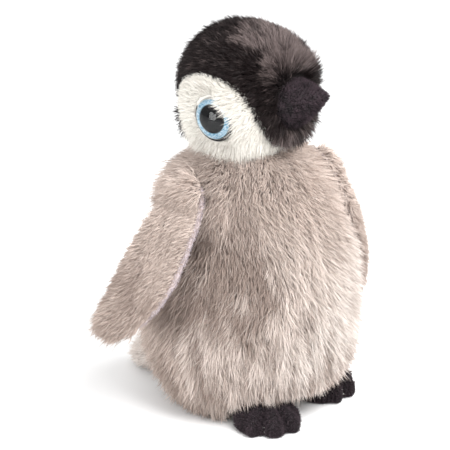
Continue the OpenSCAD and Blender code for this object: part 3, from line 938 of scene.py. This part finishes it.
class PENGUIN_OT_beak(bpy.types.Operator):
    """Makes the two beak covers and their short pile"""
    bl_idname = "penguin.beak"
    bl_label = "Beak"

    def execute(self, context):
        sizes, lengths = context.scene.penguin_sizes, context.scene.penguin_pile
        tints = context.scene.penguin_colours
        head = head_place(sizes)
        place = Place(head.out(BEAK_PLACE), head.turn @ turn_x(pi / 2))
        backing = backing_material("short_backing", tints.short_tip, tints.short_root, 0.0009)
        strands = strand_material("beak_strands", tints.short_root, dim(tints.short_tip, 1.6),
                                  dim(tints.short_tip, 0.7))

        def outside(points, normals):
            local = place.back(points)
            axis = place.out(local * [0, 0, 1])
            return np.sum(unit(points - axis) * normals, axis=1) > 0.05

        step = np.concatenate([[0.0], np.linspace(0.01, 1, 44) ** 0.9 * 0.992])
        for up, name in ((True, "beak_upper"), (False, "beak_lower")):
            half = np.linspace(0, pi, 60) if up else np.linspace(pi, 2 * pi, 60)
            theta, share = np.meshgrid(half, step)
            outer = self.surface(theta, share, sizes, 0.0)
            inner = self.surface(theta, share, sizes, sizes.cloth_thick)
            cover = slab(f"{name}_cloth", place.out(outer), place.out(inner))
            finish_piece(cover, "head", backing,
                         [f"{name}_cover", "beak_stuffing"])
            rng = np.random.default_rng(90 + up)
            roots, normals = scatter(cover, lengths.beak_count // 2, rng, outside)
            comb = place.way(np.tile([0.0, 0.0, 1.0], (len(roots), 1)))
            comb = comb + 0.8 * drift(roots, 0.004, 91)
            # Tone: random locks, with a painted highlight where the pile faces up.
            tone = 1.6 * noise(roots, 0.0024, 95) - 0.45 + 0.5 * smooth(normals[:, 2], 0.2, 0.9)
            made = pile(f"{name}_pile", roots, normals, comb, lengths.short * 1.6, SHORT_WIDTH,
                        rng, tone=tone, lean=(42, 42), clump=0.6, clump_size=0.0024, short=True)
            finish_piece(made, "head", strands)
        return {"FINISHED"}

    def surface(self, theta, share, sizes, inset):
        """A short cone with a soft point: its radius falls a little faster towards the tip.
        Each side has a sewn ridge, and the top is flatter than the underside."""
        radius = sizes.beak_radius * (1 - share ** 1.35)
        radius = np.maximum(radius - inset, 0.00005)
        side = np.abs(np.cos(theta))
        ridge = 1 + 0.10 * side ** 12 * (1 - share * 0.4)
        wide = np.cos(theta) * side ** 0.12 * radius * ridge
        tall = np.sign(np.sin(theta)) * np.abs(np.sin(theta)) ** 0.88 * radius
        tall = tall * np.where(np.sin(theta) > 0, 0.86, 1.0)
        return np.stack([wide, tall, share * sizes.beak_length], -1)


# ---- wings, feet and tail ----

TOE_SPREAD = 42                 # degrees from one toe to the next
SOLE_OUTLINE = (0.044, 0.042)   # length and width of a CAD sole, which a foot is centred on
STRIP = {RIGHT: 0.0012, LEFT: -0.0022}  # how far a lining shows over a wing's front edge


def blunt(share):
    """A sine or cosine swollen a little towards its ends."""
    return np.sign(share) * np.abs(share) ** 0.85


def oval(steps, long, wide, fuller, lobes=0.0, sweep=0.0):
    """Outline of a pad along X: a blunt oval, fuller towards +X, with three toes as lobes or
    with its +X end swept to +Y by the square of its share of the length."""
    a = np.linspace(0, 2 * pi, steps + 1)[:-1]
    bend = np.minimum(a, 2 * pi - a) * 360 / TOE_SPREAD
    toe = 1 + lobes * np.maximum(0, np.cos(a)) ** 2 * (np.cos(bend) - 0.4)
    x = blunt(np.cos(a)) * long / 2 * toe
    y = blunt(np.sin(a)) * wide / 2 * (1 + fuller * np.cos(a)) * toe
    return np.stack([x, y + sweep * np.maximum(0, 2 * x / long) ** 2], -1)


def pad_grid(edge, top, bottom, bow=0.0, sweep=0.0, rings=15):
    """Rings of a pad: its outline drawn in by the cosine of a rise, at the sine of that rise
    times its height, over a middle face that bows outwards and sweeps with its outline."""
    rise = np.linspace(-1.45, 1.45, 2 * rings + 1)[:, None]
    long = edge[:, 0].max()
    x = edge[:, 0] * np.cos(rise)
    y = (edge[:, 1] - sweep * np.maximum(0, edge[:, 0] / long) ** 2) * np.cos(rise)
    y = y + sweep * np.maximum(0, x / long) ** 2
    z = np.sin(rise) * np.where(rise > 0, top, bottom)
    return np.stack([x, y, z + bow * (1 - (x / long) ** 2)], -1)


def inflate(piece, voxel, pressure, cap, frames=16):
    """Blows a sewn pad up as cloth: an even net over it, swollen by pressure with no
    gravity, with every point held within cap of where it began, then smoothed once."""
    net = piece.modifiers.new("net", "REMESH")
    net.mode, net.voxel_size = "VOXEL", voxel
    bake(piece)
    start = positions(piece.data)
    cloth = piece.modifiers.new("cloth", "CLOTH")
    cloth.settings.quality = 4
    cloth.settings.use_pressure = True
    cloth.settings.uniform_pressure_force = pressure
    cloth.settings.effector_weights.gravity = 0.0
    cloth.settings.shrink_min = -0.02
    for step in range(1, frames + 1):
        bpy.context.scene.frame_set(step)
    swollen = positions(piece.evaluated_get(bpy.context.evaluated_depsgraph_get()).data)
    piece.modifiers.remove(cloth)
    bpy.context.scene.frame_set(1)
    move = swollen - start
    far = np.linalg.norm(move, axis=1, keepdims=True)
    move = move * np.minimum(1, cap / np.maximum(far, 1e-9))
    piece.data.vertices.foreach_set("co", (start + move).astype(np.float32).ravel())
    smoother = piece.modifiers.new("smooth", "SUBSURF")
    smoother.levels = smoother.render_levels = 1
    bake(piece)


def positions(mesh):
    co = np.empty(len(mesh.vertices) * 3, np.float32)
    mesh.vertices.foreach_get("co", co)
    return co.reshape(-1, 3).astype(float)


def bake(piece):
    """Applies a piece's modifiers."""
    graph = bpy.context.evaluated_depsgraph_get()
    mesh = bpy.data.meshes.new_from_object(piece.evaluated_get(graph))
    piece.modifiers.clear()
    piece.data = mesh
    mesh.polygons.foreach_set("use_smooth", np.ones(len(mesh.polygons), bool))


def wing_place(side, sizes):
    """A wing's frame: +X runs from its shoulder to its tip, +Y backwards along its hinge and
    +Z outwards."""
    joint = JOINTS[f"{SIDE_NAME[side]}_wing_raise"]
    back = -side * np.array(joint["axis"])
    out = sizes.right_wing_out if side == RIGHT else sizes.left_wing_out
    up = np.array([0.0, 0.0, 1.0])
    outwards = unit(side * np.cross(back, up))
    down = -unit(up - back * (up @ back))
    along = sin(out) * outwards + cos(out) * down
    face = cos(out) * outwards - sin(out) * down
    middle = np.array(joint["pos_m"]) + along * sizes.wing_middle
    return Place(middle, np.stack([along, back, face], -1))


class PENGUIN_OT_wings(bpy.types.Operator):
    """Makes the two wings and grows their pile and their linings"""
    bl_idname = "penguin.wings"
    bl_label = "Wings"

    def execute(self, context):
        sizes, lengths = context.scene.penguin_sizes, context.scene.penguin_pile
        tints = context.scene.penguin_colours
        backing = backing_material("wing_backing", tints.lining, tints.body_shade, 0.001)
        outer = strand_material("wing_strands", tints.body_root, tints.body_tip, tints.body_shade)
        inner = strand_material("lining_strands", dim(tints.lining, 0.6), tints.lining,
                                dim(tints.lining, 0.8))
        edge = oval(120, sizes.wing_length, sizes.wing_width, 0.14, sweep=sizes.tip_sweep)
        half = sizes.wing_thick / 2
        for side in (RIGHT, LEFT):
            name, place = SIDE_NAME[side], wing_place(side, sizes)
            bow = sizes.right_wing_bow if side == RIGHT else sizes.left_wing_bow
            grid = pad_grid(edge, half, half, bow, sizes.tip_sweep)
            wing = tube(f"{name}_wing_cloth", grid, place)
            inflate(wing, voxel=0.0022, pressure=3.0, cap=0.0012)
            stands_for = [f"{name}_wing_{part}" for part in ("outer", "lining", "wadding")]
            finish_piece(wing, f"{name}_wing", backing, stands_for)
            self.cover(wing, side, place, bow, sizes, lengths, (outer, inner))
        return {"FINISHED"}

    def cover(self, wing, side, place, bow, sizes, lengths, materials):
        """Long pile on the outer face, and short pile on the inner face and on the strip of
        lining that shows along the front edge."""
        def over_strip(points):
            local = place.back(points)
            height = local[:, 2] - bow * (1 - (2 * local[:, 0] / sizes.wing_length) ** 2)
            return height > 0.0002 + STRIP[side] * smooth(-local[:, 1], 0.0, 0.012)

        name = SIDE_NAME[side]
        rng = np.random.default_rng(200 + len(name))
        roots, normals = scatter(wing, lengths.wing_count, rng, lambda p, n: over_strip(p))
        local = place.back(roots)
        front, rear = smooth(-local[:, 1], 0.008, 0.016), smooth(local[:, 1], 0.004, 0.016)
        end, start = smooth(local[:, 0], 0.030, 0.050), smooth(-local[:, 0], 0.034, 0.048)
        start = start * (1.0 if side == RIGHT else 0.3)
        back = 0.14 + 0.6 * (front + rear)
        comb = place.way(np.stack([np.ones(len(roots)), back, np.zeros(len(roots))], -1))
        comb = comb + 0.3 * drift(roots, 0.016, 13)
        lock = noise(local / [0.014, 0.0032, 0.01], 1.0, 17)
        soft = noise(local, 0.014, 53)
        tone = 0.50 + 0.3 * (lock - 0.5) + 0.4 * (soft - 0.5) - 6.5 * local[:, 0]
        made = pile(f"{name}_wing_pile", roots, normals, comb,
                    lengths.wing * (0.8 + 0.4 * lock) * (1 + 0.25 * end + 0.9 * start),
                    lengths.thick, rng, tone=tone, lean=(36 - 14 * start, 76 - 22 * start),
                    clump=0.3, clump_size=0.004, wild=0.14)
        finish_piece(made, f"{name}_wing", materials[0])
        roots, normals = scatter(wing, lengths.lining_count, rng, lambda p, n: ~over_strip(p))
        comb = place.way(np.tile([1.0, 0, 0], (len(roots), 1)))
        made = pile(f"{name}_lining_pile", roots, normals, comb, lengths.short, 0.0005, rng,
                    tone=noise(roots, 0.002, 19), lean=(30, 30), clump=0.4, clump_size=0.0015,
                    short=True)
        finish_piece(made, f"{name}_wing", materials[1])


def foot_place(side, sizes):
    """A foot's frame on the ground: +X runs from its heel to its toes."""
    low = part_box(f"{SIDE_NAME[side]}_foot_sole")[0]
    splay = sizes.right_foot_splay if side == RIGHT else sizes.left_foot_splay
    turn = turn_z(side * splay - pi / 2)
    edge = oval(120, *SOLE_OUTLINE, 0.1, 0.13) @ turn[:2, :2].T
    middle = np.array([low.x, low.y]) - edge.min(0)
    return Place([middle[0], middle[1], 0], turn)


class PENGUIN_OT_feet(bpy.types.Operator):
    """Makes the two feet with three stub toes each, and their ribbed short pile"""
    bl_idname = "penguin.feet"
    bl_label = "Feet"

    def execute(self, context):
        sizes, lengths = context.scene.penguin_sizes, context.scene.penguin_pile
        tints = context.scene.penguin_colours
        backing = backing_material("foot_backing", tints.short_tip, tints.short_root, 0.0009)
        strands = strand_material("foot_strands", tints.short_root, tints.short_tip,
                                  dim(tints.short_tip, 0.6))
        rib_size = 0.0026
        for side in (RIGHT, LEFT):
            name, place = SIDE_NAME[side], foot_place(side, sizes)
            foot = tube(f"{name}_foot_cloth", self.surface(sizes), place)
            finish_piece(foot, f"{name}_foot", backing,
                         [f"{name}_foot_upper", f"{name}_foot_sole"])
            rng = np.random.default_rng(300 + side)
            roots, normals = scatter(foot, lengths.foot_count, rng,
                                     lambda p, n: (n[:, 2] > -0.5).astype(float))
            rib = 0.5 + 0.5 * np.cos(2 * pi * place.back(roots)[:, 0] / rib_size)
            made = pile(f"{name}_foot_pile", roots, normals, np.tile([0, 0, -1.0], (len(roots), 1)),
                        lengths.short * (0.6 + 0.9 * rib), SHORT_WIDTH, rng, tone=-0.1 + 1.0 * rib,
                        lean=(25, 25), clump=0.45, clump_size=0.0018, short=True)
            finish_piece(made, f"{name}_foot", strands)
        return {"FINISHED"}

    def surface(self, sizes):
        """A low dome on a flat sole: its outline is drawn in by a cosine of its rise and
        lifted by a sine, with deep valleys between its toes and a lower heel."""
        edge = oval(160, sizes.foot_length, sizes.foot_width, 0.1, 0.16)
        rise = np.concatenate([[-1.0, -0.6], np.linspace(0, 1.5, 30)])[:, None]
        theta = np.arctan2(edge[:, 1], edge[:, 0])
        spread = np.minimum(np.abs(theta), 2 * pi - np.abs(theta))
        between = 0.5 - 0.5 * np.cos(spread * 360 / TOE_SPREAD)
        front = np.maximum(0, np.cos(theta)) ** 2
        under = 0.94 * (1 + rise * 0.9)
        over = (0.94 + 0.06 * np.sin(2 * rise)) * np.cos(rise) ** 0.7
        draw = np.where(rise < 0, under, over)
        valley = 1 - 0.45 * between * front * np.clip(draw, 0, 1) ** 1.5
        heel = 1 - 0.3 * np.maximum(0, -np.cos(theta)) * draw
        dome = np.maximum(np.sin(rise), 0) ** 0.8 * sizes.foot_height * valley * heel
        lift = np.where(rise < 0, 0.0006, 0.0006 + dome)
        return np.stack([edge[:, 0] * draw, edge[:, 1] * draw, lift * np.ones_like(draw)], -1)


class PENGUIN_OT_tail(bpy.types.Operator):
    """Makes the tail and its pile"""
    bl_idname = "penguin.tail"
    bl_label = "Tail"

    def execute(self, context):
        sizes, lengths = context.scene.penguin_sizes, context.scene.penguin_pile
        tints = context.scene.penguin_colours
        root = np.array(JOINTS["tail_lift"]["pos_m"])
        turn = turn_z(pi / 2) @ turn_y(sizes.tail_drop)
        place = Place(root + turn @ np.array([sizes.tail_length / 2, 0, 0]), turn)
        edge = oval(90, sizes.tail_length, sizes.tail_width, -0.35)
        half = sizes.tail_thick / 2
        backing = backing_material("tail_backing", tints.body_shade, tints.body_root)
        strands = strand_material("tail_strands", tints.body_root, tints.belly_tip,
                                  tints.body_shade)
        tail = tube("tail_cloth", pad_grid(edge, half, half), place)
        finish_piece(tail, "tail", backing,
                     ["tail_upper_cover", "tail_lower_cover"])
        rng = np.random.default_rng(400)
        roots, normals = scatter(tail, lengths.tail_count, rng)
        comb = place.way(np.tile([1.0, 0.0, 0.0], (len(roots), 1))) + 0.3 * drift(roots, 0.01, 23)
        made = pile("tail_pile", roots, normals, comb, lengths.tail, lengths.thick, rng,
                    tone=0.7 + 0.5 * (noise(roots, 0.006, 29) - 0.5), lean=(30, 66), clump=0.4)
        finish_piece(made, "tail", strands)
        return {"FINISHED"}


# ---- what the covers hold ----

class PENGUIN_OT_inside(bpy.types.Operator):
    """Gives the filling, the pellets, the thread and the hard eye parts their finishes"""
    bl_idname = "penguin.inside"
    bl_label = "Inside"

    def execute(self, context):
        fibre, shadow = (0.88, 0.87, 0.83), (0.62, 0.61, 0.58)
        finishes = {
            "wadding": backing_material("wadding_fibre", fibre, shadow, 0.003),
            "bag_cloth": cloth_material("bag_weave", (0.82, 0.82, 0.80)),
            "pellet_fill": plastic_material("pellet_plastic", (0.70, 0.74, 0.78), 0.4),
            "thread": cloth_material("thread_twist", (0.45, 0.37, 0.33), 0.0003),
            "black_plastic": plastic_material("casing_plastic", (0.006, 0.006, 0.007)),
            "white_plastic": plastic_material("washer_plastic", (0.80, 0.80, 0.78), 0.4),
        }
        for row in frame["record"]["subparts"]:
            node = frame["nodes"][row["node"]]
            if row["material_slot"] in finishes and not node.hide_render:
                node.data.materials.clear()
                node.data.materials.append(finishes[row["material_slot"]])
        return {"FINISHED"}


# ---- stage ----

FLOOR_REACH, FLOOR_THICK = 6.0, 0.02
# Place and width of each soft box.
KEY_BOX = ((-0.15, -0.75, 0.85), 0.7)
SIDE_BOX = ((0.9, -0.35, 0.5), 0.6)
WINDOW_BOX = ((-0.92, 0.08, 0.29), 0.46)
WINDOW_SHARE = 0.9              # of the fill light's power


class PenguinStage(bpy.types.PropertyGroup):
    """The camera and the studio."""
    turn: angle("Camera turn", "How far the camera stands to the penguin's right", 50)
    height: angle("Camera height", "How far the camera looks down", 21)
    distance: length("Camera distance", "From the camera to what it looks at", 3.0)
    lens: FloatProperty(name="Lens", description="Focal length in millimetres", default=387, min=10)
    aim: FloatVectorProperty(name="Aim", description="What the camera looks at",
                             default=(-0.010, 0.012, 0.1135), subtype="XYZ", unit="LENGTH")
    key: FloatProperty(name="Key light", description="Power of the large front light",
                       default=14, unit="POWER")
    fill: FloatProperty(name="Fill light", description="Power of the side light",
                        default=5, unit="POWER")
    room: FloatProperty(name="Room light", description="Strength of the white room", default=1.0)


class PENGUIN_OT_stage(bpy.types.Operator):
    """Lays the floor, hangs the lights and sets the camera"""
    bl_idname = "penguin.stage"
    bl_label = "Stage"

    def execute(self, context):
        stage, tints = context.scene.penguin_stage, context.scene.penguin_colours
        theta = np.linspace(0, 2 * pi, 65)[:-1]
        rim = np.stack([np.cos(theta), np.sin(theta), np.zeros(64)], -1) * FLOOR_REACH
        floor = tube("floor", np.stack([rim - [0, 0, FLOOR_THICK], rim]))
        shader = Shader("floor_paper", Roughness=0.8, Specular_IOR_Level=0.1)
        paper = shader.grain(0.02, 2)
        shade = dim(tints.floor, 0.985)
        shader.link(shader.ramp(paper, [(0.3, shade), (0.7, tints.floor)]), "Base Color")
        floor.data.materials.append(shader.material)
        self.light("key", stage, *KEY_BOX, stage.key)
        self.light("side", stage, *SIDE_BOX, stage.fill)
        self.light("window", stage, *WINDOW_BOX, stage.fill * WINDOW_SHARE)
        world = bpy.data.worlds.new("room")
        world.use_nodes = True
        self.room(world.node_tree)
        world.node_tree.nodes["Background"].inputs["Strength"].default_value = stage.room
        context.scene.world = world
        context.scene.view_settings.view_transform = "Standard"
        self.camera(context, stage)
        return {"FINISHED"}

    def room(self, tree):
        """A white room, dimmer at the height of the eyes than overhead."""
        way = tree.nodes.new("ShaderNodeTexCoord").outputs["Generated"]
        split, ramp = tree.nodes.new("ShaderNodeSeparateXYZ"), tree.nodes.new("ShaderNodeValToRGB")
        tree.links.new(way, split.inputs[0])
        tree.links.new(split.outputs["Z"], ramp.inputs["Fac"])
        points = ramp.color_ramp.elements
        points[0].position, points[0].color = 0.0, (0.45, 0.45, 0.45, 1)
        points[1].position, points[1].color = 0.55, (1, 1, 1, 1)
        points.new(0.3).color = (0.6, 0.6, 0.6, 1)
        tree.links.new(ramp.outputs["Color"], tree.nodes["Background"].inputs["Color"])

    def light(self, name, stage, place, size, power):
        """A square soft box that faces the penguin."""
        data = bpy.data.lights.new(name, "AREA")
        data.shape, data.size, data.energy = "SQUARE", size, power
        lamp = bpy.data.objects.new(name, data)
        lamp.location = place
        way = Vector(stage.aim) - Vector(place)
        lamp.rotation_euler = way.to_track_quat("-Z", "Y").to_euler()
        bpy.context.scene.collection.objects.link(lamp)

    def camera(self, context, stage):
        """Stands the camera at its turn, height and distance, level and facing its aim."""
        data = bpy.data.cameras.new("camera")
        data.lens, data.sensor_width = stage.lens, 36.0
        camera = bpy.data.objects.new("camera", data)
        way = Vector((-cos(stage.height) * sin(stage.turn), -cos(stage.height) * cos(stage.turn),
                      sin(stage.height)))
        camera.location = Vector(stage.aim) + way * stage.distance
        camera.rotation_euler = (-way).to_track_quat("-Z", "Y").to_euler()
        context.scene.collection.objects.link(camera)
        context.scene.camera = camera


# ---- add-on ----

STEPS = (PENGUIN_OT_torso, PENGUIN_OT_head, PENGUIN_OT_eyes, PENGUIN_OT_beak, PENGUIN_OT_wings,
         PENGUIN_OT_feet, PENGUIN_OT_tail, PENGUIN_OT_inside, PENGUIN_OT_stage)
GROUPS = {"penguin_sizes": PenguinSizes, "penguin_pile": PenguinPile,
          "penguin_colours": PenguinColours, "penguin_stage": PenguinStage}


class PENGUIN_PT_panel(bpy.types.Panel):
    """Lists the steps and the sizes"""
    bl_idname = "PENGUIN_PT_panel"
    bl_label = "Plush Penguin"
    bl_space_type = "VIEW_3D"
    bl_region_type = "UI"
    bl_category = "Plush Penguin"

    def draw(self, context):
        for step in STEPS:
            self.layout.operator(step.bl_idname)
        for name in GROUPS:
            box = self.layout.box()
            group = getattr(context.scene, name)
            for key in group.__annotations__:
                box.prop(group, key)


def register():
    for group in GROUPS.values():
        bpy.utils.register_class(group)
    for step in (*STEPS, PENGUIN_PT_panel):
        bpy.utils.register_class(step)
    for name, group in GROUPS.items():
        setattr(bpy.types.Scene, name, PointerProperty(type=group))


def unregister():
    for name in GROUPS:
        delattr(bpy.types.Scene, name)
    for step in (PENGUIN_PT_panel, *reversed(STEPS)):
        bpy.utils.unregister_class(step)
    for group in GROUPS.values():
        bpy.utils.unregister_class(group)


def main():
    register()
    for step in STEPS:
        family, name = step.bl_idname.split(".")
        getattr(getattr(bpy.ops, family), name)()


if __name__ == "__main__":
    main()
